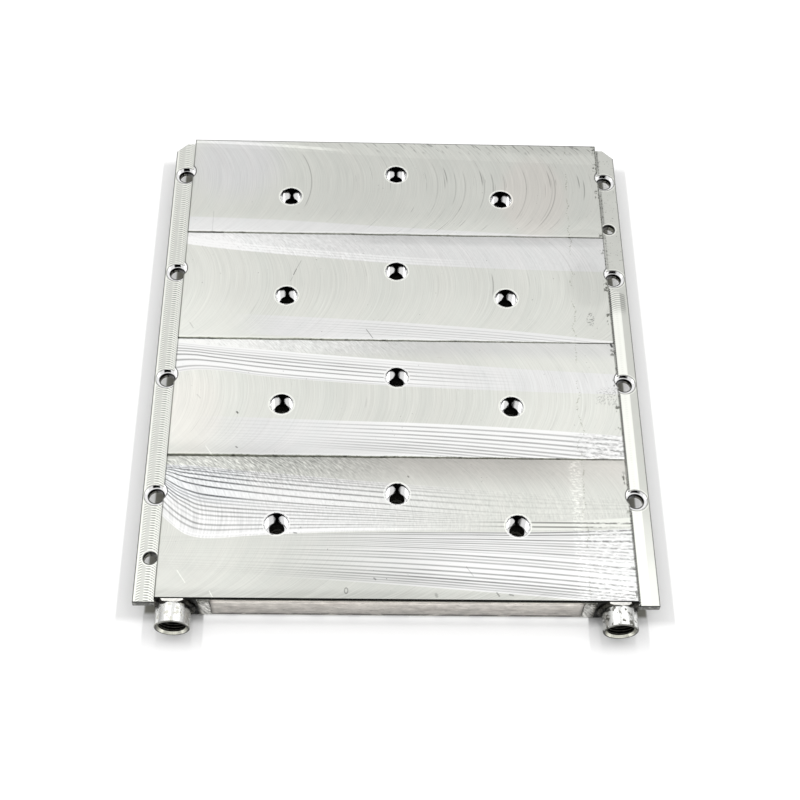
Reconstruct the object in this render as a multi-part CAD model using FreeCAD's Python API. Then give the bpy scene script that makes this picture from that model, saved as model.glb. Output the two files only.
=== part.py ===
import FreeCAD, Part
import os

from FreeCAD import Vector

# Liquid cooling cold plate, in millimetres, +Z up, lying on its underside.
# The origin is at the middle of the footprint, flanges and port bosses included, on the
# resting plane. The ports point towards -Y.
#
# A thick machined body is hollowed from below into two headers and one fin field per row of
# screws, and closed by a cover let into its underside. Each screw passes down through a pillar.

# ---------------------------------------------------------------- driving dimensions
# Layers of the plate, from the underside up
cover_thickness = 4.0
channel_height = 7.5
roof_thickness = 5.0

# Raised block and its two side flanges
block_width = 214.5
flange_width = 10.0
flange_thickness = 4.0
flange_drop = 4.0
flange_corner_cut = 5.5
front_edge_chamfer = 0.8
small_edge_chamfer = 0.3

# Screws through the block: three columns, the middle one set back towards the rear
row_count = 4
row_pitch = 64.0
column_pitch = 55.0
middle_column_shift = 16.0
screw_hole = 7.0
counterbore = 11.0
counterbore_depth = 6.0
pillar_wall = 2.5

# Screws and dowels in the flanges
flange_hole_edge = 6.25
spot_face = 10.5
spot_face_depth = 1.2
dowel_hole = 6.0

# Face-milled passes across the top: each is cut a little low at its rear edge
seam_ahead = 23.5
pass_creep = 2.0
pass_step = 0.3

# Channels
rear_wall = 4.5
field_margin = 10.0
front_margin = 53.5
header_width = 10.0
cover_ledge = 1.5
cover_clearance = 0.05
cover_corner_radius = 3.0

# Folded fin blocks
fin_pitch = 4.0
fin_sheet = 0.5
fin_side_gap = 0.5
fin_pillar_gap = 1.5
fin_header_gap = 1.5
braze_gap = 0.05

# Ports: a turned boss with a spigot brazed into the front wall
boss_edge_gap = 0.25
boss_length = 10.5
port_thread_minor = 11.45
port_thread_depth = 10.0
port_bore = 8.5
mouth_chamfer = 0.5
boss_rim_chamfer = 0.4
spigot_diameter = 13.5
spigot_length = 6.0
spigot_clearance = 0.05
port_land = 3.5
weld_leg = 2.2
weld_side_gap = 0.25

# Strip that closes the slot in the front edge
strip_end_gap = 8.25
strip_seat = 1.7
strip_stand_out = 0.8
strip_top_gap = 1.3
strip_clearance = 0.05
strip_edge_radius = 0.6
strip_land = 5.0
end_weld_length = 5.5
end_weld_height = 12.0
end_weld_thickness = 0.9
end_weld_chamfer = 0.4

# Relief grooves along the underside
groove_depth = 1.8
wide_groove = 10.5
narrow_groove = 5.25
narrow_groove_offset = 19.25

# ---------------------------------------------------------------- derived sizes and places
channel_bottom = cover_thickness
channel_top = cover_thickness + channel_height
plate_height = channel_top + roof_thickness
flange_top = plate_height - flange_drop
flange_bottom = flange_top - flange_thickness
block_half = block_width / 2
overall_half = block_half + flange_width

pillar_radius = counterbore / 2 + pillar_wall
rear_margin = rear_wall + field_margin + pillar_radius
block_depth = rear_margin + (row_count - 1) * row_pitch + front_margin
rear_y = (block_depth + boss_length) / 2
front_y = rear_y - block_depth

middle_rows = [rear_y - rear_margin - row * row_pitch for row in range(row_count)]
outer_rows = [y - middle_column_shift for y in middle_rows]
columns = [-column_pitch, 0.0, column_pitch]
screw_places = [(x, middle if x == 0 else outer)
                for middle, outer in zip(middle_rows, outer_rows) for x in columns]
flange_hole_x = overall_half - flange_hole_edge
flange_screw_places = [(side * flange_hole_x, y) for side in (-1, 1) for y in middle_rows]
dowel_places = [(-flange_hole_x, middle_rows[-1] - row_pitch / 2),
                (flange_hole_x, middle_rows[0] - row_pitch / 2)]

boss_radius = plate_height / 2 - boss_edge_gap
port_x = block_half - boss_radius
port_z = plate_height / 2
front_wall = spigot_length + port_land

header_outer = port_x + port_bore / 2
header_inner = header_outer - header_width
header_rear = rear_y - rear_wall
header_front = front_y + front_wall
field_spans = [(y - middle_column_shift - pillar_radius - field_margin,
                y + pillar_radius + field_margin) for y in middle_rows]
cover_half = header_outer + cover_ledge
cover_rear = header_rear + cover_ledge
cover_front = header_front - cover_ledge

strip_half = port_x - boss_radius - strip_end_gap
strip_bottom = groove_depth
strip_top = plate_height - strip_top_gap
strip_back = front_y + strip_seat
strip_face = front_y - strip_stand_out
slot_half = strip_half - strip_land

first_seam = rear_y - rear_margin - row_pitch + seam_ahead
seams = [first_seam - index * (row_pitch + pass_creep) for index in range(row_count - 1)]

# Room past a face for a cut that runs out of the solid
overrun = 2.0


# ---------------------------------------------------------------- building helpers
def box(x0, x1, y0, y1, z0, z1):
    return Part.makeBox(x1 - x0, y1 - y0, z1 - z0, Vector(x0, y0, z0))


def hole(x, y, z0, z1, diameter):
    return Part.makeCylinder(diameter / 2, z1 - z0, Vector(x, y, z0))


def face_of(points):
    return Part.Face(Part.makePolygon(points + [points[0]]))


def prism_along_x(points_yz, x0, x1):
    return face_of([Vector(x0, y, z) for y, z in points_yz]).extrude(Vector(x1 - x0, 0, 0))


def prism_along_y(points_xz, y0, y1):
    return face_of([Vector(x, y0, z) for x, z in points_xz]).extrude(Vector(0, y1 - y0, 0))


def turned(points, x):
    """Revolve points (radius, distance out of the front face) about a port's axis."""
    outline = [Vector(x + radius, front_y - out, port_z) for radius, out in points]
    return face_of(outline).revolve(Vector(x, front_y, port_z), Vector(0, 1, 0), 360)


def joined(solids):
    return solids[0].fuse(solids[1:]) if len(solids) > 1 else solids[0]


def save(name, shape):
    shape.exportStep("parts/" + name + ".step")
    print("%-22s %2d solid  %10.1f mm3" % (name, len(shape.Solids), shape.Volume))


# ---------------------------------------------------------------- plate body
def flange_plate():
    """Both flanges as one plate through the block, with its rear corners cut off."""
    cut = flange_corner_cut
    outline = [(-overall_half, front_y), (overall_half, front_y), (overall_half, rear_y - cut),
               (overall_half - cut, rear_y), (cut - overall_half, rear_y),
               (-overall_half, rear_y - cut)]
    plate = face_of([Vector(x, y, flange_bottom) for x, y in outline])
    plate = plate.extrude(Vector(0, 0, flange_thickness))
    side_edges = [edge for edge in plate.Edges
                  if all(abs(vertex.X) > block_half for vertex in edge.Vertexes)
                  and abs(edge.Vertexes[0].Z - edge.Vertexes[1].Z) < flange_thickness / 2]
    return plate.makeChamfer(small_edge_chamfer, side_edges)


def milled_pass_cuts():
    """Wedges that tilt each pass, so that it starts one step below the pass behind it."""
    edges = [rear_y] + seams + [front_y]
    cuts = []
    for rear, front in zip(edges, edges[1:]):
        wedge = [(rear, plate_height - pass_step), (front, plate_height),
                 (front, plate_height + overrun), (rear, plate_height + overrun)]
        cuts.append(prism_along_x(wedge, -block_half - overrun, block_half + overrun))
    return cuts


def top_edge_cuts():
    """Broken edges round the raised block: a wide one in front, small ones elsewhere."""
    wide, small = front_edge_chamfer, small_edge_chamfer
    rear_top = plate_height - pass_step
    front_cut = [(front_y - overrun, plate_height - wide - overrun),
                 (front_y + wide + overrun, plate_height + overrun),
                 (front_y - overrun, plate_height + overrun)]
    rear_cut = [(rear_y + overrun, rear_top - small - overrun),
                (rear_y - small - overrun, rear_top + overrun),
                (rear_y + overrun, rear_top + overrun)]
    cuts = [prism_along_x(outline, -block_half - overrun, block_half + overrun)
            for outline in (front_cut, rear_cut)]
    for side in (-1, 1):
        outline = [(side * (block_half + overrun), plate_height - small - overrun),
                   (side * (block_half - small - overrun), plate_height + overrun),
                   (side * (block_half + overrun), plate_height + overrun)]
        cuts.append(prism_along_y(outline, front_y - overrun, rear_y + overrun))
    return cuts


def channel_space():
    """All the coolant space in the body: headers, fin fields and front slot, less the pillars."""
    spaces = [box(side_inner, side_outer, header_front, header_rear, channel_bottom, channel_top)
              for side_inner, side_outer in ((header_inner, header_outer),
                                             (-header_outer, -header_inner))]
    for field_front, field_rear in field_spans:
        spaces.append(box(-header_inner, header_inner, field_front, field_rear,
                          channel_bottom, channel_top))
    spaces.append(box(-slot_half, slot_half, front_y - overrun, field_spans[-1][0],
                      channel_bottom, channel_top))
    pillars = [hole(x, y, channel_bottom, channel_top, 2 * pillar_radius)
               for x, y in screw_places]
    return joined(spaces).cut(joined(pillars))


def cover_outline(grow, z0, z1):
    """The cover's block, its upright corners rounded, larger by grow on every side."""
    blank = box(-cover_half - grow, cover_half + grow, cover_front - grow, cover_rear + grow,
                z0, z1)
    upright = [edge for edge in blank.Edges
               if abs(edge.Vertexes[0].Z - edge.Vertexes[1].Z) > (z1 - z0) / 2]
    return blank.makeFillet(cover_corner_radius, upright)


def underside_grooves():
    """Relief grooves under each screw column and half-way out on both sides of it."""
    lanes = [(x, wide_groove) for x in columns]
    lanes += [(x + side * narrow_groove_offset, narrow_groove) for x in columns
              for side in (-1, 1)]
    return joined([box(x - width / 2, x + width / 2, front_y - overrun, rear_y + overrun,
                       -overrun, groove_depth) for x, width in lanes])


def port_passages():
    """The spigot's seat and the drilled hole on into the header, at both ports."""
    seat = spigot_diameter / 2 + spigot_clearance
    drill = port_bore / 2
    outline = [(0, overrun), (seat, overrun), (seat, -spigot_length), (drill, -spigot_length),
               (drill, -front_wall - overrun), (0, -front_wall - overrun)]
    return [turned(outline, side * port_x) for side in (-1, 1)]


def plate_body():
    block = box(-block_half, block_half, front_y, rear_y, 0, plate_height)
    body = block.fuse(flange_plate())
    body = body.cut(milled_pass_cuts() + top_edge_cuts())
    body = body.cut([channel_space(), cover_outline(0, -overrun, cover_thickness)])
    body = body.cut([box(-strip_half, strip_half, front_y - overrun, strip_back,
                         strip_bottom, strip_top)])
    body = body.cut([underside_grooves()] + port_passages())
    screws = [hole(x, y, -overrun, plate_height + overrun, screw_hole) for x, y in screw_places]
    heads = [hole(x, y, plate_height - counterbore_depth, plate_height + overrun, counterbore)
             for x, y in screw_places]
    body = body.cut(screws + heads)
    screws = [hole(x, y, flange_bottom - overrun, flange_top + overrun, screw_hole)
              for x, y in flange_screw_places]
    seats = [hole(x, y, flange_top - spot_face_depth, plate_height + overrun, spot_face)
             for x, y in flange_screw_places]
    dowels = [hole(x, y, flange_bottom - overrun, flange_top + overrun, dowel_hole)
              for x, y in dowel_places]
    return body.cut(screws + seats + dowels).removeSplitter()


# ---------------------------------------------------------------- bottom cover
def bottom_cover():
    cover = cover_outline(-cover_clearance, 0, cover_thickness)
    holes = [hole(x, y, -overrun, cover_thickness + overrun, screw_hole)
             for x, y in screw_places]
    return cover.cut(holes + [underside_grooves()])


# ---------------------------------------------------------------- folded fins
def fin_outline(start, waves, low, high):
    """A square-folded sheet in section: out along its upper side, back along its lower side."""
    half = fin_pitch / 2
    walls = [start + index * half for index in range(2 * waves)]
    sheet = fin_sheet
    skin = sheet / 2
    upper, lower = [], []
    for index, wall in enumerate(walls):
        rising = index % 2 == 0
        side = -skin if rising else skin
        inner_low = low if index in (0, len(walls) - 1) else low + sheet
        ends = (inner_low, high) if rising else (high, inner_low)
        upper += [(wall + side, z) for z in ends]
        ends = (low, high - sheet) if rising else (high - sheet, low)
        lower += [(wall - side, z) for z in ends]
    return upper + lower[::-1]


def fin_block(x0, x1, field_front, field_rear):
    width = field_rear - field_front - 2 * fin_side_gap
    waves = int((width + fin_pitch / 2 - fin_sheet) // fin_pitch)
    start = (field_front + field_rear) / 2 - (2 * waves - 1) * fin_pitch / 4
    outline = fin_outline(start, waves, channel_bottom, channel_top - braze_gap)
    return prism_along_x(outline, x0, x1)


def fin_bays():
    """Clear widths between one header, the three pillar columns and the other header."""
    reach = pillar_radius + fin_pillar_gap
    lefts = [fin_header_gap - header_inner] + [x + reach for x in columns]
    rights = [x - reach for x in columns] + [header_inner - fin_header_gap]
    return list(zip(lefts, rights))


# ---------------------------------------------------------------- ports and their welds
def port_boss(x):
    thread = port_thread_minor / 2
    bore = port_bore / 2
    spigot = spigot_diameter / 2
    thread_end = boss_length - port_thread_depth
    outline = [(bore, -spigot_length), (spigot, -spigot_length), (spigot, 0), (boss_radius, 0),
               (boss_radius, boss_length - boss_rim_chamfer),
               (boss_radius - boss_rim_chamfer, boss_length),
               (thread + mouth_chamfer, boss_length), (thread, boss_length - mouth_chamfer),
               (thread, thread_end), (bore, thread_end - (thread - bore) / 2)]
    return turned(outline, x)


def port_weld(x):
    """The fillet round a boss, milled level with the top and left open at the block's side."""
    ring = turned([(boss_radius, 0), (boss_radius + weld_leg, 0), (boss_radius, weld_leg)], x)
    half = block_half - weld_side_gap
    return ring.common(box(-half, half, front_y - weld_leg, front_y, 0, plate_height))


# ---------------------------------------------------------------- front strip and its welds
def front_closing_strip():
    strip = box(strip_clearance - strip_half, strip_half - strip_clearance, strip_face,
                strip_back, strip_bottom + strip_clearance, strip_top - strip_clearance)
    front_edges = [edge for edge in strip.Edges
                   if all(abs(vertex.Y - strip_face) < strip_clearance
                          for vertex in edge.Vertexes)]
    return strip.makeFillet(strip_edge_radius, front_edges)


def strip_weld(side):
    middle = (strip_bottom + strip_top) / 2
    inner = strip_half
    outer = strip_half + end_weld_length
    low, high = min(side * inner, side * outer), max(side * inner, side * outer)
    pad = box(low, high, front_y - end_weld_thickness, front_y,
              middle - end_weld_height / 2, middle + end_weld_height / 2)
    face_y = front_y - end_weld_thickness
    rim = [edge for edge in pad.Edges
           if all(abs(vertex.Y - face_y) < end_weld_thickness / 2 for vertex in edge.Vertexes)]
    return pad.makeChamfer(end_weld_chamfer, rim)


# ---------------------------------------------------------------- write every piece
os.makedirs("parts", exist_ok=True)

save("plate_body", plate_body())
save("bottom_cover", bottom_cover())
for row, span in enumerate(field_spans, start=1):
    for bay, (left, right) in enumerate(fin_bays(), start=1):
        save("fin_row%d_bay%d" % (row, bay), fin_block(left, right, *span))
for name, side in (("inlet", -1), ("outlet", 1)):
    save(name + "_port_boss", port_boss(side * port_x))
    save(name + "_port_weld", port_weld(side * port_x))
save("front_closing_strip", front_closing_strip())
for name, side in (("left", -1), ("right", 1)):
    save("strip_weld_" + name, strip_weld(side))
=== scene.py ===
# %% [markdown]
# # A liquid cooling cold plate
# This lesson dresses a machined aluminium cold plate. The solids come ready from the frame, each
# piece in its own place, in metres. What is left to make is what a plain solid lacks: the milled
# and turned finishes, the threads in the two ports, the weld beads and the small burrs.

# %% Load the solids
import math
import random

import bpy
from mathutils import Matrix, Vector
from mathutils import noise as cloud


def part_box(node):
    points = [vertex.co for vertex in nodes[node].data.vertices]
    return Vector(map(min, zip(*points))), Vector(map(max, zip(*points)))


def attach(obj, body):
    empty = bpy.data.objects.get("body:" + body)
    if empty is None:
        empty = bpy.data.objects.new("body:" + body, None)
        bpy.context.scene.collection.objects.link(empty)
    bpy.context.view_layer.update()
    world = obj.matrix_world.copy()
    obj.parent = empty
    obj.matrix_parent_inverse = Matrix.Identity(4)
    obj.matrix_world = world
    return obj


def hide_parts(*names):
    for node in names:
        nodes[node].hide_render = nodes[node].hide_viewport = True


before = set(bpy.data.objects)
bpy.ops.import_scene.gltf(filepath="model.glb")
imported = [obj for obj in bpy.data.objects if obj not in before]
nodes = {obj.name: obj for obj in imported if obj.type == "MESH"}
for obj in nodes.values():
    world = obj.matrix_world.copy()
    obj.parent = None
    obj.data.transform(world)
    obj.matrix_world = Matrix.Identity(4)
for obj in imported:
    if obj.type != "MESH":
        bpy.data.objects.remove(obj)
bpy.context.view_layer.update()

MM = 0.001
bpy.ops.object.select_all(action="DESELECT")

# %% [markdown]
# ## Sizes to work from
# Every finish is laid out from the plate's own sizes: the rows and columns of screw holes, the
# lines where one milling pass meets the next, the edges of the raised block. They are read from
# the solids where a solid shows them, and named here where it doesn't. All are in millimetres.

# %% The plate's sizes
body_low, body_high = (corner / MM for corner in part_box("plate_body"))
FRONT, REAR = body_low.y, body_high.y
TOP = body_high.z
BLOCK_HALF = 107.25
FLANGE_HALF, FLANGE_DROP = body_high.x, 4
FLANGE_TOP = TOP - FLANGE_DROP
COLUMN_PITCH, ROW_PITCH, COLUMN_SHIFT = 55, 64, 16
REAR_MARGIN, FIRST_PASS, PASS_WIDTH = 22.5, 63, 66
MIDDLE_ROW_1 = REAR - REAR_MARGIN
MIDDLE_ROWS = [MIDDLE_ROW_1 - row * ROW_PITCH for row in range(4)]
SEAMS = [REAR - FIRST_PASS - seam * PASS_WIDTH for seam in range(3)]
SCREW_R, COUNTERBORE_R, COUNTERBORE_DEPTH = 3.5, 5.5, 6
SPOT_FACE_R, SPOT_FACE_DEPTH, DOWEL_R = 5.25, 1.2, 3
FLANGE_HOLE_INSET = 6.25
FLANGE_HOLE_X = FLANGE_HALF - FLANGE_HOLE_INSET
PORT_X, PORT_Z = 99.25, TOP / 2
BOSS_R, BOSS_LENGTH = 8, 10.5
print("milling passes meet at y =", [round(y, 2) for y in SEAMS])

# %% [markdown]
# ## Camera
# The plate is seen from the front and well above, with a mild long lens, so its sides converge
# a little towards the rear. The camera is placed first, and the world and lamps come after it.

# %% Place the camera
CAMERA_PLACE = Vector((-17.84, -398.36, 611.6)) * MM
CAMERA_TURN = [math.radians(angle) for angle in (32.1431, -1.7083, -0.2344)]
bpy.ops.object.camera_add(location=CAMERA_PLACE, rotation=CAMERA_TURN)
camera = bpy.context.object
camera.name = "camera"
camera.data.sensor_width = 36
camera.data.lens = 66.119
camera.data.clip_end = 20
scene = bpy.context.scene
scene.camera = camera
print("camera lens", camera.data.lens)

# %% [markdown]
# ## Arithmetic that paints
# The milled finish is a drawing made of arcs, lines and bands whose places are known in
# millimetres, so it is easiest to write as arithmetic on x, y and z. Shader maths is one node
# for each operation. The small class below lets a formula be written as a formula, and puts
# down the Math nodes for it. A picture texture would need unwrapping and would blur close up.

# %% A number that varies over the surface
class Field:
    """A shader value. Arithmetic on it adds Math nodes to its material."""

    def __init__(self, socket):
        self.socket = socket

    def math(self, operation, *others):
        return node_math(self.socket.node.id_data, operation, self, *others)

    def __add__(self, other):
        return self.math("ADD", other)

    __radd__ = __add__

    def __sub__(self, other):
        return self.math("SUBTRACT", other)

    def __rsub__(self, other):
        return node_math(self.socket.node.id_data, "SUBTRACT", other, self)

    def __mul__(self, other):
        return self.math("MULTIPLY", other)

    __rmul__ = __mul__

    def __truediv__(self, other):
        return self.math("DIVIDE", other)

    def __pow__(self, other):
        return self.math("POWER", other)

    def __abs__(self):
        return self.math("ABSOLUTE")


def feed(slot, value):
    """Link a Field to a socket, or set the socket to a plain number."""
    if isinstance(value, Field):
        slot.node.id_data.links.new(value.socket, slot)
    else:
        slot.default_value = value


def node_math(tree, operation, *values):
    node = tree.nodes.new("ShaderNodeMath")
    node.operation = operation
    for slot, value in zip(node.inputs, values):
        feed(slot, value)
    return Field(node.outputs[0])


def most(a, b):
    return a.math("MAXIMUM", b)


def least(a, b):
    return a.math("MINIMUM", b)


def off_whole(value):
    """How far a value lies from the nearest whole number."""
    return value - value.math("ROUND")


def axes(tree, kind, output):
    """The x, y and z of a vector that a new node of this kind gives."""
    source = tree.nodes.new(kind)
    split = tree.nodes.new("ShaderNodeSeparateXYZ")
    tree.links.new(source.outputs[output], split.inputs[0])
    return [Field(out) for out in split.outputs]


def rise(value, low, high):
    """0 below low, 1 above high, and smooth between. With low above high it falls instead."""
    tree = value.socket.node.id_data
    node = tree.nodes.new("ShaderNodeMapRange")
    node.interpolation_type = "SMOOTHSTEP"
    falls = low > high
    feed(node.inputs["Value"], value)
    feed(node.inputs["From Min"], min(low, high))
    feed(node.inputs["From Max"], max(low, high))
    node.inputs["To Min"].default_value = 1 if falls else 0
    node.inputs["To Max"].default_value = 0 if falls else 1
    return Field(node.outputs["Result"])


def near(value, centre, reach, soft):
    """1 within reach of centre, fading to 0 over soft."""
    return rise(abs(value - centre), reach + soft, reach)


def blend(a, b, share):
    """a where share is 0, b where it is 1."""
    return share * (b - a) + a


def distance(a, b):
    return (a * a + b * b).math("SQRT")


def noise(x, y, z=0, scale=1, detail=2, rough=0.5):
    """Cloudy noise from 0 to 1 about 0.5, on coordinates stretched as the caller likes."""
    tree = next(v for v in (x, y, z) if isinstance(v, Field)).socket.node.id_data
    place = tree.nodes.new("ShaderNodeCombineXYZ")
    for slot, value in zip(place.inputs, (x, y, z)):
        feed(slot, value)
    node = tree.nodes.new("ShaderNodeTexNoise")
    tree.links.new(place.outputs[0], node.inputs["Vector"])
    node.inputs["Scale"].default_value = scale
    node.inputs["Detail"].default_value = detail
    node.inputs["Roughness"].default_value = rough
    return Field(node.outputs[0])


def curve_through(value, points, handle=None):
    """The height of a curve through (u, v) points from 0 to 1, where u is value."""
    node = value.socket.node.id_data.nodes.new("ShaderNodeFloatCurve")
    curve = node.mapping.curves[0]
    while len(curve.points) < len(points):
        curve.points.new(0.5, 0.5)
    for point, place in zip(curve.points, points):
        point.location = place
        if handle:
            point.handle_type = handle
    node.mapping.extend = "HORIZONTAL"
    node.mapping.update()
    feed(node.inputs["Value"], value)
    return Field(node.outputs[0])


def bent_line(x, points):
    """y of a smooth line drawn through a few given (x, y) points, for each x across the block."""
    span, reach = 2 * BLOCK_HALF, 200
    across = (x + BLOCK_HALF) / span
    scaled = [((px + BLOCK_HALF) / span, py / (2 * reach) + 0.5) for px, py in points]
    return (curve_through(across, scaled) - 0.5) * (2 * reach)


print("shader arithmetic is ready")

# %% [markdown]
# ## Daylight and lamps
# Bare metal shows what is round it, so the room matters as much as the finish. A pale room all
# round keeps the metal light. One side of it, high in front, is dark like an unlit ceiling, and
# polished holes and edges pick that up as black. Two wide lamps hang over the left and right,
# for a soft shadow on both sides.

# %% Room and lamps
ROOM_LEVEL, HORIZON_LEVEL = 0.93, 0.45
HORIZON_REACH = (0.1, 0.55)
LAMP_POWER = 1.8
DARK_SIDE = Vector((-0.03, -0.54, 0.84)).normalized()
DARK_REACH, DARK_LEVEL = (8, 20), 0.06

scene.view_settings.view_transform = "Standard"
scene.world = bpy.data.worlds.new("pale room")
scene.world.use_nodes = True
sky_tree = scene.world.node_tree
sky_tree.nodes.clear()
gaze = axes(sky_tree, "ShaderNodeTexCoord", "Generated")
climb = rise(gaze[2], *HORIZON_REACH) * (ROOM_LEVEL - HORIZON_LEVEL) + HORIZON_LEVEL
toward = sum(along * part for along, part in zip(gaze, DARK_SIDE))
dark_core, dark_rim = (math.cos(math.radians(angle)) for angle in DARK_REACH)
room_level = climb * (1 - rise(toward, dark_rim, dark_core) * (1 - DARK_LEVEL))
room, backdrop = (sky_tree.nodes.new("ShaderNodeBackground") for _ in range(2))
for light, strength in ((room, room_level), (backdrop, 1)):
    light.inputs["Color"].default_value = (1, 1, 1, 1)
    feed(light.inputs["Strength"], strength)
seen = sky_tree.nodes.new("ShaderNodeLightPath")
choose = sky_tree.nodes.new("ShaderNodeMixShader")
sky = sky_tree.nodes.new("ShaderNodeOutputWorld")
sky_tree.links.new(seen.outputs["Is Camera Ray"], choose.inputs[0])
sky_tree.links.new(room.outputs[0], choose.inputs[1])
sky_tree.links.new(backdrop.outputs[0], choose.inputs[2])
sky_tree.links.new(choose.outputs[0], sky.inputs["Surface"])

for side in (-1, 1):
    bpy.ops.object.light_add(type="AREA", location=(side * 0.62, 0.12, 1.25))
    lamp = bpy.context.object
    lamp.name = "lamp_left" if side < 0 else "lamp_right"
    lamp.data.shape = "RECTANGLE"
    lamp.data.size, lamp.data.size_y = 0.5, 0.9
    lamp.data.energy = LAMP_POWER
    lamp.rotation_euler = (-lamp.location).to_track_quat("-Z", "Y").to_euler()
print("room and lamps are in place")

# %% [markdown]
# ## Floor
# The floor is white to the eye and in reflections, through a faint glow. The plate's shadow on
# it is painted: the glow is turned down in a narrow band beside the plate, with an edge as clean
# as a card's, and in front of the bosses. Under the plate the glow is off and the floor is
# painted grey, a painted shadow that shows where a hole looks through. Just in front of the strip
# the glow is turned up a little, a painted light. All this is arithmetic on the floor's x and y.

# %% Floor, and its painted shade close to the plate
FLOOR_GLOW = 0.36
SHADE_REACH, UNDER_REACH = 126, 113.1
STRIP_REACH = 86.7
FLOOR_WHITE, PAINTED_SHADOW_GREY = (0.82, 0.82, 0.82, 1), (0.3, 0.295, 0.265, 1)

bpy.ops.mesh.primitive_plane_add(size=6, location=(0, 0, -0.0002))
floor = bpy.context.object
floor.name = "floor"
paper = bpy.data.materials.new("white paper")
paper.use_nodes = True
paper_tree = paper.node_tree
surface = paper_tree.nodes["Principled BSDF"]
surface.inputs["Roughness"].default_value = 0.9
surface.inputs["Specular IOR Level"].default_value = 0
surface.inputs["Emission Color"].default_value = (1, 1, 1, 1)
path = paper_tree.nodes.new("ShaderNodeLightPath")
rays = [Field(path.outputs[ray]) for ray in ("Is Camera Ray", "Is Glossy Ray",
                                             "Is Transmission Ray")]
glow = most(most(rays[0], rays[1]), rays[2]) * FLOOR_GLOW

floor_x, floor_y, _ = (axis * (1 / MM) for axis in axes(paper_tree, "ShaderNodeTexCoord", "Object"))
aside = abs(floor_x)
# painted shadow in a narrow band beside the plate
beside = rise(aside, SHADE_REACH + 0.3, SHADE_REACH - 0.3) * near(floor_y, 2.5, 132, 5)
in_front = rise(floor_y, FRONT + 40, FRONT + 20)
by_strip = rise(floor_y, FRONT - 4.2, FRONT - 1) - near(floor_y, FRONT - 7.5, 1.5, 2.5) * 0.1
by_strip *= rise(aside, STRIP_REACH + 0.5, STRIP_REACH - 0.5)
by_boss = near(aside, 100, 13.3, 0.5) * rise(floor_y, FRONT - 22, FRONT - 9)
before_boss = near(aside, PORT_X, 7, 2) * rise(floor_y, FRONT - 19, FRONT - 11)
# painted shade in front of the bosses, and painted light just in front of the strip
front_shade_and_light = (by_boss * 0.44 + before_boss * 0.3 - by_strip * 0.95) * in_front
open_floor = most(1 - (beside * 0.62 + front_shade_and_light), 0)
# painted shadow under the plate: no glow there, and a grey colour
painted_under_shadow = rise(aside, UNDER_REACH + 0.5, UNDER_REACH - 0.5) * near(floor_y, 2.5, 130, 2)
feed(surface.inputs["Emission Strength"], glow * open_floor * (1 - painted_under_shadow))
paint = paper_tree.nodes.new("ShaderNodeMix")
paint.data_type = "RGBA"
feed(paint.inputs["Factor"], painted_under_shadow)
paint.inputs[6].default_value, paint.inputs[7].default_value = FLOOR_WHITE, PAINTED_SHADOW_GREY
paper_tree.links.new(paint.outputs[2], surface.inputs["Base Color"])
floor.data.materials.append(paper)
print("floor is in place, and shaded near the plate")

# %% [markdown]
# ## A metal to paint on
# Each finish starts from the same bare metal: a Principled shader that is fully metallic, whose
# colour is set by how light the metal looks (its tone) and by a faint tint. Tone is written
# as the eye judges it, from 0 to 1, and is raised to a power to become light energy.

# %% Start and finish a metal
EYE_POWER = 2.2


def new_metal(name):
    """A new material and the surface's x, y, z in mm and its facing, each from -1 to 1."""
    material = bpy.data.materials.new(name)
    material.use_nodes = True
    tree = material.node_tree
    tree.nodes["Principled BSDF"].inputs["Metallic"].default_value = 1
    place = [axis * (1 / MM) for axis in axes(tree, "ShaderNodeTexCoord", "Object")]
    return material, place, axes(tree, "ShaderNodeNewGeometry", "True Normal")


def finish_metal(material, tone, warmth, roughness, height=None, height_mm=0.05, blush=0):
    """Send tone, tint, roughness and surface height to the shader. Warmth 1 is the faint
    yellow of bare aluminium, 0 is neutral and below 0 is bluish. Blush adds pink."""
    tree = material.node_tree
    shader = tree.nodes["Principled BSDF"]
    light = most(tone, 0.02) ** EYE_POWER
    red = light * (1 - 0.012 * warmth + 0.05 * blush)
    blue = light * (1 - 0.06 * warmth)
    colour = tree.nodes.new("ShaderNodeCombineColor")
    for slot, value in zip(colour.inputs, (red, light, blue)):
        feed(slot, value)
    tree.links.new(colour.outputs[0], shader.inputs["Base Color"])
    feed(shader.inputs["Roughness"], roughness)
    if height is not None:
        bump = tree.nodes.new("ShaderNodeBump")
        bump.inputs["Strength"].default_value = 1
        bump.inputs["Distance"].default_value = height_mm * MM
        feed(bump.inputs["Height"], height)
        tree.links.new(bump.outputs[0], shader.inputs["Normal"])


def give(node_name, material):
    """Put a material on a solid from the frame."""
    slots = nodes[node_name].data.materials
    slots.clear()
    slots.append(material)


print("ready to paint metal")

# %% [markdown]
# ## The face-milled top
# A wide cutter crossed the plate four times, once for each row of screws. It leaves faint arcs
# all curving the same way. Where a pass begins and ends the arcs run almost along the plate, and
# the bright bands they flash there are a painted sheen, with long fine lines in them. The passes
# meet at thin dark seams, rough at the left and fading to the right. All of it is drawn by formula.

# %% Helpers for the milled top
CUTTER_R = 40


def cut_arcs(x, y, centre_y, radius):
    """Which arc of the cutter a point lies on, as the cutter's own travel in mm."""
    off = y - centre_y
    return x - most(radius * radius - off * off, 4).math("SQRT")


def in_turn(done, *values):
    """The same values, tied to something that has to be worked out first. A long painting is
    cut into turns this way, because the renderer can only hold a few numbers at once."""
    return [done * 1e-9 + value for value in values]


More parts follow.
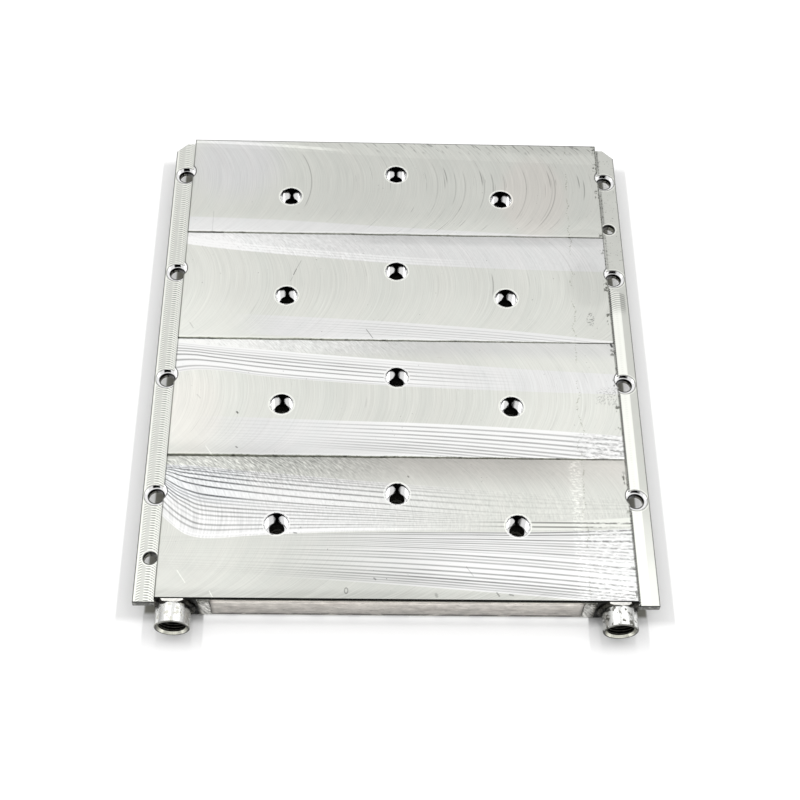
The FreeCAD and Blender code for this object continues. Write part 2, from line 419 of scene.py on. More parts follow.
def mark(x, y, start, end, width, soft=0.25):
    """1 along a straight scratch between two points, fading out over soft."""
    (ax, ay), (bx, by) = start, end
    length = math.hypot(bx - ax, by - ay)
    ux, uy = (bx - ax) / length, (by - ay) / length
    along = (x - ax) * ux + (y - ay) * uy
    aside = (x - ax) * (-uy) + (y - ay) * ux
    past = abs(along - length / 2) - length / 2
    return rise(distance(aside, most(past, 0)), width + soft, width * 0.4)


def height_at(points, at):
    """y of a line through (x, y) points where x is at."""
    for (x0, y0), (x1, y1) in zip(points, points[1:]):
        if x0 <= at <= x1:
            return y0 + (y1 - y0) * (at - x0) / (x1 - x0)


def ruled_band(x, y, guides, at, rules, half=0.4):
    """Fine lines between bent guide lines, and the band itself, each from 0 to 1. A rule is
    the height of one line where x is at, and its strength."""
    heights = [bent_line(x, points) for points in guides]
    marks = [height_at(points, at) for points in guides]
    count = len(guides) - 1
    across = 0
    for upper, lower in zip(heights, heights[1:]):
        across = most(least((upper - y) / (upper - lower), 1), 0) + across
    shape = [(0, 0)]
    for rule, strength in rules:
        for step, value in ((half, 0), (0, strength), (-half, 0)):
            place = sum(min(max((upper - rule - step) / (upper - lower), 0), 1)
                        for upper, lower in zip(marks, marks[1:])) / count
            shape.append((max(place, shape[-1][0] + 0.0005), value))
    drawn = curve_through(across / count, shape, "VECTOR")
    worn = noise(x * 0.06, across * 9, 1) * 0.9 + 0.55
    band = rise(heights[0] - y, -0.25, 0.25) * rise(y - heights[-1], -0.25, 0.25)
    return drawn * worn, band


# %% Lay out the passes
plate, (x, y, z), (nx, ny, nz) = new_metal("milled aluminium plate")

seam_1, seam_2, seam_3 = SEAMS
after_1, after_2, after_3 = (rise(y, seam + 0.15, seam - 0.15) for seam in SEAMS)
pass_1, pass_2, pass_3 = 1 - after_1, after_1 - after_2, after_2 - after_3
centre = ((REAR + seam_1) / 2 + after_1 * ((seam_2 - REAR) / 2)
          + after_2 * ((seam_3 - seam_1) / 2) + after_3 * ((FRONT - seam_2) / 2))
pass_seed = after_1 * 7.3 + after_2 * 5.1 + after_3 * 9.7

# each pass has its own lightness
tone = 0.822 + after_1 * 0.045 + after_2 * 0.022 - after_3 * 0.022
tone += pass_1 * (rise(x, -20, -100) * 0.036 - rise(x, 20, 90) * 0.012)
tone += pass_1 * rise(y, 92, 77) * 0.045
tone += pass_2 * (rise(x, -60, -100) * (rise(y, 60, 20) * 0.03 + 0.02))
tone += pass_2 * (rise(y, 45, 18) * 0.018 - rise(x, 82, 100) * 0.02)
tone += pass_3 * (rise(x, -60, -105) * 0.045 + rise(x, 45, 80) * 0.015)
tone -= pass_3 * near(x, 5, 15, 40) * 0.02
tone += (noise(x, y, scale=0.03, detail=3) - 0.5) * 0.045
right_end = rise(x, 80, 92)

# arcs left by the cutter
arc = cut_arcs(x, y, centre + 2, CUTTER_R)
fine = noise(arc * 1.9, y * 0.02, pass_seed, detail=3, rough=0.7) - 0.5
broad = noise(arc * 0.16, y * 0.01, pass_seed + 2) - 0.5
hair = noise(arc * 5, y * 0.05, pass_seed + 14, rough=0.6) - 0.5
patchy = noise(x, y, 4, scale=0.05, detail=1)
lone = rise(noise(arc * 1.2, y * 0.03, pass_seed + 5, detail=1), 0.66, 0.72)
lone *= rise(noise(arc * 0.4, y * 0.09, pass_seed + 8, detail=1), 0.5, 0.6)
many = pass_1 * rise(x, -70, 40)
tone = tone + fine * (patchy * 0.24) + hair * 0.09 + broad * 0.025 - lone * (many * 0.11 + 0.04)
crossed = noise(cut_arcs(x * -1, y, centre + 2, CUTTER_R) * 1.6, y * 0.03, 2)
tone += (crossed - 0.5) * 0.03

ARCS = [  # where each deep arc crosses its widest point, its middle, half its length, strength
    (-44.5, 112, 15, 0.13), (84, 104, 18, 0.12), (82.4, 101, 12, 0.06),
    (27, 117, 2, 0.18), (31.5, 108, 8, 0.08), (36.5, 106, 10, 0.07),
    (46.6, 106, 9, 0.08), (45.6, 115.5, 1.5, 0.2), (51.3, 110, 5, 0.13),
    (57.4, 108, 7, 0.08), (68.8, 104, 14, 0.08), (81.6, 115, 2, 0.14),
    (99.5, 108, 3, 0.15), (97, 114, 1, 0.2), (48.8, 45, 3.5, 0.17),
    (22, 112, 10, 0.06), (90, 64, 8, 0.04), (-3, 118, 9, 0.05),
]
for widest, middle, half, strength in ARCS:
    tone -= near(arc, widest - CUTTER_R, 0.1, 0.3) * near(y, middle, half, 5) * strength
print("arcs painted")

# %% [markdown]
# ### Where the seams, the wear and the holes are
# These places are worked out first, because the finish is cut out round them and the surface
# is a little lower there. A seam is a thin ragged line that fades to the right.

# %% Seams, wear and holes as places
ragged = noise(x * 0.35, y * 0.5, 1, detail=4, rough=0.75)
curls = noise(arc, y * 0.4, 6, detail=3, rough=0.65) - 0.5
seam_shade_and_dirt, lip_highlight = x * 0, x * 0
for seam, depth, fade_from, fade_to in ((seam_1, 0.75, 20, 100), (seam_2, 0.85, 30, 107),
                                        (seam_3, 1, 60, 125)):
    wave = (noise(x * 0.05, 0, seam, detail=3) - 0.5) * 0.8
    width = ragged * 0.9 - 0.3 + rise(x, 60, -107) * (0.12 if depth < 1 else 0.28)
    line = rise(abs(y - seam - wave) - width, 0.42, -0.12)
    seam_shade_and_dirt = most(seam_shade_and_dirt, line * depth * (0.35 + 0.65 * rise(x, fade_to, fade_from)))
    lip_highlight += near(y - wave, seam + 1.05, 0.2, 0.4)
blot = rise(noise(x * 0.22, y * 0.2, 8), 0.54, 0.66)

specks = rise(noise(x, y, 2, scale=0.9), 0.725, 0.765)
worn = near(x, 90, 10, 8) * 0.7 + rise(x, 98, 107)
specks *= rise(noise(x, y, 5, scale=0.09, detail=1) + worn * 0.14, 0.52, 0.62)
wear_x = (noise(y * 0.09, 0, 3, detail=1) - 0.5) * 9 + (y - 40) * 0.02 + 88.6
dots = near(x - wear_x, 0, 0.22, 0.35)
dots *= rise(noise(x * 1.1, y * 1.2, 7), 0.5, 0.58)
dots *= rise(noise(y * 0.06, 0, 12, detail=1), 0.4, 0.54)

# distance from the nearest screw hole, in the block and in the flanges
off_middle = off_whole((y - MIDDLE_ROW_1) / ROW_PITCH) * ROW_PITCH
off_outer = off_whole((y - MIDDLE_ROW_1 + COLUMN_SHIFT) / ROW_PITCH) * ROW_PITCH
to_middle = distance(x, off_middle)
to_outer = distance(abs(x) - COLUMN_PITCH, off_outer)
to_hole = least(to_middle, to_outer)
to_flange_hole = distance(abs(x) - FLANGE_HOLE_X, off_middle)
print("seams, wear and holes laid out")

# %% [markdown]
# ### Bands and lines of each pass
# A band of painted sheen is given by a few bent guide lines, and its fine lines by their heights at
# one column.
# The helper spreads them between the guides, so they fan out where the guides part. The first
# two passes have quiet bands. The last two have strong white ones with thin grey lines.

# %% Bands of the first two passes
plain_x, plain_y = x, y
x, y = in_turn(tone, x, y)
# bright: where a band of painted sheen lies; the tint and roughness follow it later
bright = x * 0


def paint_sheen(tone, level, cover):
    """Paint sheen: bring tone up to a level where cover is 1."""
    return blend(tone, most(tone, level), cover)


# first pass: a strip behind the front seam, a rear strip, and a white thread along it
edge = bent_line(x, [(-107, 86.2), (-60, 84.8), (0, 81.2), (60, 78), (107, 75.5)])
strip = pass_1 * rise(edge - y, -0.4, 0.6)
tone, bright = tone + strip * 0.032, most(bright, strip)
edge = bent_line(x, [(-107, 134), (-40, 131.5), (0, 129), (30, 127.8), (107, 125.8)])
rear = rise(y - edge, -0.5, 0.5)
tone += rear * (0.018 - rise(x, 20, 90) * rise(y, 131, 136) * 0.05)
tone += rear * (noise(arc * 0.9, y * 0.05, 3) - 0.5) * 0.09
thread = bent_line(x, [(-107, 137.6), (-75, 136.6), (-42, 134.3), (-20, 132)])
tone += near(y - thread, 0, 0.6, 0.7) * rise(x, -22, -44) * (ragged * 0.16 + 0.02)
dashes = rise(noise(arc * 0.8, y * 0.2, 31, detail=1), 0.6, 0.67)
tone -= dashes * rise(y, 130, 136) * rise(x, -60, 10) * 0.16
tone -= near(y, REAR - 0.25, 0.15, 0.45) * (ragged * 0.7 + 0.1)

x, y = in_turn(tone, x, y)

# second pass: curls and three lines behind its centre, and fine lines ahead of the seam
foot_2 = [(-107, 68.3), (-90, 65.9), (-65, 63.2), (-35, 60.5), (-8, 58.2), (25, 56.3), (107, 54.2)]
edge = bent_line(x, foot_2)
strip = pass_2 * rise(y - edge, -0.3, 0.3)
tone, bright = tone + strip * 0.022, most(bright, strip)
tone += strip * rise(x, -20, -95) * 0.07
tone += strip * curls * (rise(x, 30, -60) * 0.26 + 0.07)
tone -= strip * near(y, 75, 2.5, 4) * near(x, 35, 35, 45) * 0.065
for lift in (0.85, 2.5, 4.1):
    tone += near(y - edge, lift, 0.35, 0.4) * pass_2 * rise(x, 60, -10) * 0.055
edge_2 = [(-107, 26), (-60, 24.2), (-20, 22.3), (20, 19.8), (60, 16.6), (107, 11.2)]
lines, band = ruled_band(x, y, [edge_2, [(px, py - 12) for px, py in edge_2]], 20,
                         [(17.9, 0.6), (16.2, 0.8), (14.7, 0.7), (13.3, 0.6), (11.8, 0.6)])
cover = pass_2 * band * rise(x, -85, -55)
tone = paint_sheen(tone, 0.935, cover * rise(x, -70, 30) * 0.7) + cover * 0.02
tone -= lines * cover * (rise(x, -50, 20) * 0.19 + 0.03)
bright = most(bright, cover)

# %% Bands of the third pass
x, y = in_turn(tone, x, y)
lines, band = ruled_band(
    x, y, [[(-107, 8.3), (-90, 6.2), (-65, 4), (-35, 1.3), (10, -2), (60, -5.5), (107, -8)],
           [(-107, 0.6), (-98, 0.4), (-90, -0.7), (-65, -3.9), (-35, -7), (10, -10.6),
            (60, -13.3), (107, -15)],
           [(-107, -10.3), (-98, -8.4), (-88, -8.4), (-65, -11.4), (-35, -14), (10, -16.7),
            (60, -18.5), (107, -19.5)]],
    -65, [(2.7, 0.2), (1.4, 0.4), (-0.2, 0.75), (-1.8, 0.85), (-3.9, 1), (-6.3, 0.9),
          (-9.4, 0.7), (-10.9, 0.35)], 0.6)
behind = pass_3 * rise(y, -2, 6) * (1 - band)
tone += behind * (rise(x, 0, -100) * 0.075 - rise(x, -40, 30) * 0.035)
tone += behind * curls * rise(x, 40, -30) * 0.42
cover = pass_3 * band
tone = paint_sheen(tone, 0.985, cover * rise(x, 70, -10) * 0.95) + cover * 0.018
tone -= lines * cover * rise(x, 70, -30) * 0.4
bright = most(most(bright, cover), behind * 0.7)

x, y = in_turn(tone, x, y)
edge_3 = [(-107, -34), (-70, -35), (-30, -36.2), (10, -37.1), (50, -38.9), (80, -40.9), (107, -43)]
lines, band = ruled_band(
    x, y, [edge_3, [(-107, -50), (-70, -50.4), (-30, -52.5), (10, -55.2), (50, -59), (80, -62.3),
                    (107, -66)]],
    10, [(-39.2, 0.75), (-41.5, 0.85), (-43.8, 0.9), (-45.8, 0.75), (-47.8, 0.9), (-49.5, 0.85),
         (-51.1, 0.85), (-52.6, 0.7), (-53.9, 0.4)], 0.62)
cover = pass_3 * rise(bent_line(x, edge_3) - y, -0.3, 0.3) * rise(x, -100, -60)
tone = paint_sheen(tone, 0.985, cover * rise(x, -80, 10) * 0.95) + cover * 0.012
broken_lines = rise(noise(x * 0.35 + y * 0.15, y * 1.1, 5, detail=3, rough=0.7), 0.38, 0.6)
keep = 1 - right_end * (1 - broken_lines * 1.1)
tone -= lines * cover * band * keep * (rise(x, -60, 20) * 0.33 + 0.04)
tone -= pass_3 * rise(y, -46, -54) * rise(x, 30, -10) * 0.055
bright = most(bright, cover)
smeared = rise(noise(x * 0.3 + y * 0.2, y * 0.9, 1, detail=4, rough=0.7), 0.46, 0.62)
tone -= cover * right_end * smeared * 0.16
print("three passes painted")

# %% [markdown]
# ### The fourth pass
# The cutter came in at the left and lifted, so its lines spring from the left edge, curl down
# and run out level. Where they are closest they are dark and bluish. To the right a second fan
# of lines opens towards the front, and past the wear line it breaks up into white smears.

# %% Bands of the fourth pass
x, y = in_turn(tone, x, y)
fan_foot = [(-107, -87.5), (-104, -90.5), (-100, -94), (-96, -96.8), (-90, -98.6), (-84, -98.9),
            (-68, -97.6), (-45, -96), (-15, -94.6), (20, -93.8), (60, -92), (107, -87)]
lines, band = ruled_band(
    x, y, [[(-107, -61), (-92, -61.6), (-76, -63.3), (-45, -66.1), (-15, -68.7), (25, -71.7),
            (60, -74), (107, -77)],
           [(-107, -66), (-104, -67.3), (-100, -69.3), (-92, -71.5), (-76, -74), (-45, -77.5),
            (-15, -79.9), (20, -82.8), (60, -85), (107, -84)],
           [(-107, -74.5), (-104, -77.7), (-100, -81.1), (-96, -83.6), (-92, -86.1), (-84, -87.5),
            (-76, -87.9), (-45, -88.6), (-15, -89.1), (40, -89.7), (107, -85.5)],
           fan_foot],
    -76, [(-62.6, 0.2), (-63.9, 0.35), (-64.8, 0.5), (-66.2, 0.65), (-68.2, 0.85), (-70.7, 0.9),
          (-74, 1), (-78.2, 0.95), (-80, 0.45), (-81.6, 0.5), (-83.6, 0.85), (-85.7, 0.7),
          (-87.9, 0.75), (-89.9, 0.3), (-92.2, 0.75), (-94.5, 0.6), (-97.6, 0.2)], 0.62)
cover = after_3 * band
shown = rise(x, 60, -40)
slanting = noise(arc * 1.1, y * 0.06, 12)
tone = paint_sheen(tone, 0.965, cover * (shown * 0.9 + 0.05))
knot = cover * near(y + (x + 107) * 0.1, -69, 6.5, 5) * rise(x, -62, -82)
hatch = rise(slanting, 0.4, 0.58)
tone = tone - lines * cover * (shown * 0.36 + 0.05) - lines * knot * (hatch * 0.24 + 0.1)
tone += cover * (slanting - 0.5) * rise(x, -30, -90) * 0.28
tone += cover * curls * 0.2 * rise(x, -100, -50)
cool = knot * (lines * 1.2 + 0.5)
bright = most(bright, cover * shown)
foot = bent_line(x, fan_foot)
tone += after_3 * near(y - foot, 0.9, 0.7, 0.5) * rise(x, 40, -20) * 0.05

x, y = in_turn(tone, x, y)
lines, band = ruled_band(
    x, y, [[(-107, -98), (-45, -96.3), (-10, -95.1), (25, -94.6), (65, -94.1), (107, -92)],
           [(-107, -102), (-30, -98.7), (10, -99.2), (40, -99.4), (65, -99.9), (107, -100.8)],
           [(-107, -104), (-30, -104.3), (10, -105.3), (40, -106.9), (65, -108.6), (107, -112.6)],
           [(-107, -115), (-30, -119.2), (10, -121.9), (40, -124.3), (65, -126.4), (107, -130.5)]],
    65, [(-94.6, 1), (-95.9, 0.9), (-97.1, 0.3), (-98.5, 0.9), (-99.9, 0.5), (-101.1, 0.7),
         (-102.5, 0.5), (-103.7, 0.4), (-105, 0.8), (-106.4, 0.3), (-108.6, 0.85), (-110.3, 0.55),
         (-111.9, 0.75), (-114.8, 0.75), (-117.4, 0.85), (-119.6, 0.85), (-121.4, 1),
         (-122.9, 0.85), (-124.2, 0.75), (-125.3, 0.5)], 0.58)
cover = after_3 * band
shown = rise(x, -75, 25)
tone = paint_sheen(tone, 0.985, cover * shown * 0.95)
tone -= lines * cover * keep * (shown * 0.44 + 0.03)
bright = most(bright, cover * shown)
x, y = in_turn(tone, x, y)
upper = near(y - bent_line(x, [(-107, -92), (40, -90.4), (65, -91), (107, -88.5)]), 0, 1.9, 0.6)
upper = upper * after_3 * rise(x, 25, 75)
tone = paint_sheen(tone, 0.94, upper)
for line_y in (-89.4, -91.6):
    tone -= near(y, line_y, 0.15, 0.5) * upper * keep * 0.36
smear = after_3 * right_end * rise(y, -86, -90)
flecks = noise(x * 0.45 + y * 0.2, y, 3, detail=3, rough=0.65)
tone -= smear * rise(flecks, 0.54, 0.66) * 0.06
tone += after_3 * near(x, 83, 1.5, 2.5) * rise(flecks, 0.45, 0.6) * 0.1
dusk = after_3 * rise(y, -76, -58)
tone -= dusk * (near(x, 5, 50, 50) * 0.1 + 0.03)
tone += dusk * curls * (rise(x, 20, -70) * 1.05 + 0.12)
worn_front = after_3 * rise(y, -122.5, -126)
tone = tone - worn_front * 0.05 * rise(x, 80, 60) + worn_front * (slanting - 0.5) * 0.16
tone -= after_3 * near(x, -20, 20, 35) * rise(y, -88, -118) * 0.045
print("bands painted")

# %% [markdown]
# ### Seams, wear and dirt
# A seam is a shallow step. Its dark uneven line is painted shade of the step, darkened further
# as burr and dirt, and the bright lip behind it is a painted highlight. A soft painted shade lies
# just in front of the first and third seams. Pits, a dotted line of wear and a few scratches are
# placed one by one.
# The burr along the right side of the block is a broken line of dark specks.

# %% Seams and wear
x, y = in_turn(tone, x, y)
# painted highlight on the lip behind each seam
tone += lip_highlight * 0.035
# soft painted shade just in front of the first and third seams
tone = tone - near(y, seam_3 - 1.6, 0.2, 2) * 0.02 - near(y, seam_1 - 1.5, 0.5, 1.5) * 0.02
# painted shade of each seam's step, with burr and dirt
tone *= 1 - seam_shade_and_dirt * (0.3 + blot * 0.24 + ragged * 0.16)

tone = tone * (1 - specks * 0.3) * (1 - dots * 0.17)
patch = near(distance(x - 97, (y - 46) * 0.8), 0, 9, 4)
tone = tone - patch * pass_2 * 0.022 - near(distance(x - 98, (y - 76) * 1.8), 0, 9, 3) * 0.02

MARKS = [  # start, end, width, change
    ((-89.5, -51), (-80.5, -64), 0.1, 0.09), ((-15, 16.5), (-11.8, 11.5), 0.12, -0.24),
    ((-53.4, 45.6), (-52.2, 48.6), 0.05, -0.1), ((-52, 49.6), (-50.6, 53.4), 0.1, -0.3),
    ((-50.4, 54), (-48.4, 58.6), 0.04, -0.14), ((-76, -32), (-75.6, -32.6), 0.35, -0.45),
    ((-75.4, -51.2), (-74.8, -51.6), 0.25, -0.3), ((-83, -125), (-81.2, -128.4), 0.15, 0.12),
    ((-98, -115), (-94, -121), 0.1, 0.1), ((-94.6, 90), (-94.6, 77), 0.08, -0.07),
    ((17, -125.6), (17.3, -126.6), 0.7, -0.12), ((44, -124.6), (45, -126.2), 0.3, -0.2),
    ((49.6, -125.4), (51.2, -125.8), 0.3, -0.2), ((30.8, -112), (33.8, -116.5), 0.12, -0.12),
    ((-10.5, -118), (-9.8, -118.6), 0.3, -0.22), ((105.6, 9.6), (106, 8.4), 0.6, -0.5),
    ((4.9, -65.9), (5.3, -66.3), 0.2, -0.3), ((-102, 19.5), (-100, 16), 0.08, -0.12),
    ((-46.8, -95.8), (-45.6, -95.9), 0.2, -0.3), ((-95.5, -22.5), (-93.8, -24.5), 0.2, -0.07),
]
for start, end, width, change in MARKS:
    x, y = in_turn(tone, x, y)
    tone += mark(x, y, start, end, width) * change
x, y = in_turn(tone, x, y)
ring = near(distance((x + 22.8) * 1.7, y + 124.2), 1.3, 0.1, 0.4)
tone -= ring * 0.22
cluster = near(distance(x - 96.6, (y - 24.5) * 0.45), 0, 1.2, 1.2)
cluster += near(distance((x - 103) * 0.7, y + 21), 0, 3, 4) * 0.5
grit = rise(noise(x, y, 9, scale=1.3, detail=1), 0.52, 0.6)
tone *= 1 - cluster * grit * 0.3
loops = rise(noise(x * 0.6, y * 0.5, 4), 0.5, 0.54) * near(x, 105.9, 0.6, 0.9)
loops *= rise(noise(y * 0.1, 0, 21, detail=1), 0.5, 0.6)
flecked = rise(noise(x * 0.9, y * 0.8, 14, detail=3), 0.5, 0.62)
edge_burr = near(x, BLOCK_HALF - 0.35, 0.1, 0.4) * (0.45 + flecked * 0.55)
edge_burr = most(edge_burr, loops * 0.7)
edge_burr = most(edge_burr, near(x, 0.35 - BLOCK_HALF, 0.05, 0.35) * 0.55)
tone *= 1 - edge_burr * 0.62

# a thin painted highlight on the burr round every counterbore, with a painted shade line where
# the edge turns into the hole, and the same dark line round the spot faces
rim = near(to_hole, COUNTERBORE_R + 0.55, 0.22, 0.32)
tone = blend(tone, 0.99, rim * 0.85)
uneven_rim_shade = rise(to_hole - flecked * 0.22, COUNTERBORE_R + 0.22, COUNTERBORE_R + 0.06)
tone = blend(tone, 0.16, uneven_rim_shade * 0.9)
spot_edge = near(to_flange_hole, SPOT_FACE_R + 0.25, 0.12, 0.28)
tone = blend(tone, 0.38, spot_edge * 0.85)
top_tone = tone
print("seams and wear painted")

# %% [markdown]
# ### Flanges
# The flanges were cut with an end mill that stepped along them, so they carry a row of small
# crescents, crossed where it came back. The right one is dull up to its second screw and bright
# from there on. A thin dark line runs along their outer edges, and a painted shade line along the
# foot of the block's side.

# %% Flanges
MILL_STEP, MILL_R = 1.28, 5.6
FLANGE_MIDDLE = BLOCK_HALF + 5


def crescents(x, y, middle_x, direction):
    """Fine arcs one mill step apart, as -1 to 1."""
    off = x - middle_x
    bow = most(MILL_R * MILL_R - off * off, 0.3).math("SQRT")
    return ((y + bow * direction) * (2 * math.pi / MILL_STEP)).math("SINE")


x, y = in_turn(top_tone, x, y)
out = abs(x) - BLOCK_HALF
is_right = rise(x, -1, 1)
flange_middle = is_right * (2 * FLANGE_MIDDLE) - FLANGE_MIDDLE
there = crescents(x, y, flange_middle, -1)
back = crescents(x, y, flange_middle, 1)
stroke = rise(there, -0.1, 0.7)
crossing = rise(back, -0.2, 0.6)
inner_zone = rise(out, 5.4, 4.8)
outer_zone = near(out, 7.7, 0.6, 0.3)
smudge = noise(x, y, 2, scale=0.12, detail=3) - 0.5

left_flange = 0.885 + (noise(x, y * 0.05, 1, detail=1) - 0.5) * 0.05
left_cut = stroke * 0.6 - 0.06 - crossing * 0.22 + rise(out, 4.6, 1.2) * rise(y, 120, 0) * 0.08
left_flange += inner_zone * left_cut * (rise(y, 130, 60) * 0.35 + 0.65)
left_flange += outer_zone * (stroke * 0.36 - 0.15)
left_flange = left_flange + near(out, 9.1, 0.2, 0.3) * 0.1 - near(out, 6.2, 0.6, 0.5) * 0.04
left_flange += (noise(x * 0.2, y * 0.3, 9) - 0.5) * 0.05

right_dull = 0.815 + smudge * 0.05
smudged = near(out, 1, 0.5, 1) * rise(noise(x * 0.2, y * 0.14, 5, detail=3), 0.38, 0.58)
right_dull -= smudged * 0.13 * rise(y, 60, 100)
second_burr = near(out + (ragged - 0.5) * 1.4, 1.5, 0.15, 0.45) * rise(flecked, -0.4, 0.8)
right_dull -= second_burr * rise(y, 56, 60) * 0.24
right_dull -= rise(noise(x, y, 6, scale=1.1), 0.64, 0.7) * 0.16
soft_band = near(out, 7.9, 1.6, 0.6)
right_bright = 0.995 - soft_band * (0.17 - rise(y, -60, -125) * 0.12) + smudge * 0.03
# painted shade on the right flange close to the block's side
right_bright -= near(out, 0.6, 0.5, 0.5) * (0.3 + (1 - stroke) * 0.45)
right_bright -= near(out, 3.6, 0.2, 0.8) * (1 - stroke) * 0.03
milled_again = rise(y + there * 0.4 + (out - 4) * 0.4, 46.5, 43.5)
starting = near(y, 40, 3, 8) * milled_again * rise(out, 9, 8)
right_bright -= starting * (0.02 + (1 - stroke) * 0.2)
right_flange = blend(right_dull, right_bright, milled_again)
flange_tone = blend(left_flange, right_flange, is_right)
# a painted highlight on the burr round each flange spot face
flange_tone = blend(flange_tone, 0.99, near(to_flange_hole, SPOT_FACE_R + 0.75, 0.2, 0.3) * 0.5)
edge_lines_and_shade = near(out, FLANGE_HALF - BLOCK_HALF - 0.2, 0.12, 0.3)
# painted shade along the foot of the block's side
edge_lines_and_shade = most(edge_lines_and_shade, near(out, 0, 0.25, 0.35))
edge_lines_and_shade = most(edge_lines_and_shade, spot_edge * 0.8)
flange_tone = blend(flange_tone, 0.42, edge_lines_and_shade * (0.55 + flecked * 0.3))
print("flanges painted")

# %% [markdown]
# ### Holes and small edges
# The screw holes were bored with a polished cutter, and their mirror of the room is painted:
# white at the sides, and black at the rear as a painted ragged shade from the burr of the top.
# Deep in the hole the wall is painted dark as shade. The broken front edge of the block is
# painted dark as shade.

# %% Holes, edges and sides
x, y = in_turn(flange_tone, x, y)
wall = rise(abs(nz), 0.35, 0.2)
in_hole = rise(to_hole, COUNTERBORE_R + 0.12, COUNTERBORE_R + 0.02)
in_flange_hole = rise(to_flange_hole, SPOT_FACE_R + 0.12, SPOT_FACE_R + 0.02)
polished = least(in_hole + in_flange_hole, 1)
is_middle = rise(to_outer - to_middle, -1, 1)
beside = abs(blend(abs(x) - COLUMN_PITCH, x, is_middle))
behind_hole = blend(off_outer, off_middle, is_middle)
depth = (z - TOP) * -1
uneven = noise(x * 0.7, y * 0.7, z * 0.5) - 0.5

# the painted ragged shade: a stripe at the rear, wider at the top, with two arms along the rim
shade_stripe = rise(beside - (rise(depth, 6.2, 0.5) * 1.5 + 0.55 + uneven * 0.9), 0.25, -0.15)
shade_arms = near(depth, 1.1, 0.45, 0.35) * rise(behind_hole + uneven * 3, -0.5, 1)
shade_arms = most(shade_arms, near(depth, 0.3, 0.22, 0.3) * 0.92)
shaded = most(shade_stripe, shade_arms * wall) * rise(behind_hole, -4.5, -2.5)
# the bore below the counterbore is painted dark as shade, with a faint painted glimmer deep in it
in_bore = rise(to_hole, SCREW_R + 0.12, SCREW_R + 0.04)
in_bore *= rise(depth, COUNTERBORE_DEPTH - 0.1, COUNTERBORE_DEPTH + 0.1)
glimmer = near(depth, 10.4, 1.6, 1) * rise(beside, 2.7, 1.9) * rise(behind_hole, 0, 1)
# painted reflection: white at the sides, black where the painted shade lies
hole_reflection_and_shade = blend(0.95, 0.05, shaded)
hole_reflection_and_shade = blend(hole_reflection_and_shade, 0.05 + glimmer * (0.22 + uneven * 0.2), in_bore)

# the same in the flanges: a painted dark dash of shade behind the spot face, and a bore painted
# dark as shade near its top and, lower, grey to white as a painted reflection of the floor
aside = abs(x) - FLANGE_HOLE_X
shade_dash = near(aside * (is_right * 2 - 1) + 0.3, 0, 1.4, 0.3) * rise(off_middle, 0, 1)
rim_shade = near(to_flange_hole, SCREW_R + 0.15, 0.22, 0.25)
rim_shade *= rise(off_middle + uneven * 4, -1.5, 0.5) * 0.35 + 0.65
spot_tone = blend(0.96, 0.05, most(shade_dash * wall, rim_shade))
in_flange_bore = rise(to_flange_hole, SCREW_R + 0.12, SCREW_R + 0.04)
spot_floor = FLANGE_TOP - SPOT_FACE_DEPTH
in_flange_bore *= rise(z, spot_floor + 0.1, spot_floor - 0.1)
below = rise(z + uneven * 1.4, FLANGE_TOP - 2.2, FLANGE_TOP - 2.5)
pale = blend(0.42, 0.95, rise(aside, 0.2, 0.6))
spot_tone = blend(spot_tone, blend(0.06, pale, below), in_flange_bore)
to_dowel = least(distance(x + FLANGE_HOLE_X, y - MIDDLE_ROWS[3] + ROW_PITCH / 2),
                 distance(x - FLANGE_HOLE_X, y - MIDDLE_ROWS[0] + ROW_PITCH / 2))
in_dowel = rise(to_dowel, DOWEL_R + 0.14, DOWEL_R + 0.05)

along = noise(plain_x * 0.03, plain_y * 0.03, z * 1.5, detail=3) - 0.5
side_tone = 0.8 + along * 0.1 + (noise(x, y, z, scale=0.25, detail=3) - 0.5) * 0.07
on_top = rise(nz, 0.9, 0.95) * rise(z, TOP - 0.9, TOP - 0.6) * (1 - in_hole)
on_flange = rise(nz, 0.9, 0.95) * near(z, FLANGE_TOP, 0.3, 0.2)
# a painted highlight round each dowel hole, and a painted shade line at its edge
flange_tone = blend(flange_tone, 0.99, near(to_dowel, DOWEL_R + 0.75, 0.2, 0.3) * 0.7)
dowel_rim = near(to_dowel, DOWEL_R + 0.1, 0.22, 0.22) * (0.75 + uneven * 0.5)
flange_tone = blend(flange_tone, 0.14, dowel_rim)
# painted shade on the block's front face beside each boss
shade_by_boss = near(abs(x), 98, BLOCK_HALF - 98, 0.3) * rise(ny, -0.7, -0.9)
side_tone = blend(side_tone, 0.2 + uneven * 0.25, shade_by_boss)
flange_end = rise(ny, -0.7, -0.9) * rise(abs(x), BLOCK_HALF, BLOCK_HALF + 0.4)
side_tone = blend(side_tone, 0.45 + uneven * 0.9, flange_end)
tone = blend(side_tone, flange_tone, on_flange)
tone = blend(tone, top_tone, on_top)
tone = blend(tone, hole_reflection_and_shade, in_hole)
tone = blend(tone, spot_tone, in_flange_hole * (1 - on_top) * (1 - on_flange))
# the dowel hole is painted dark as shade near its top, and lower as a painted reflection of the
# floor
low = rise(z + uneven * 1.4, FLANGE_TOP - 1.2, FLANGE_TOP - 1.5)
tone = blend(tone, blend(0.05, pale, low), in_dowel * (1 - on_flange))
# painted shade along the broken front edge of the block
front_edge = rise(ny, -0.4, -0.6) * near(nz, 0.7, 0.2, 0.1) * near(y, FRONT, 1.2, 0.5)
tone = blend(tone, 0.16, front_edge)
broken = near(abs(nz), 0.7, 0.2, 0.1) * (1 - front_edge)
tone = blend(tone, 0.42, broken)

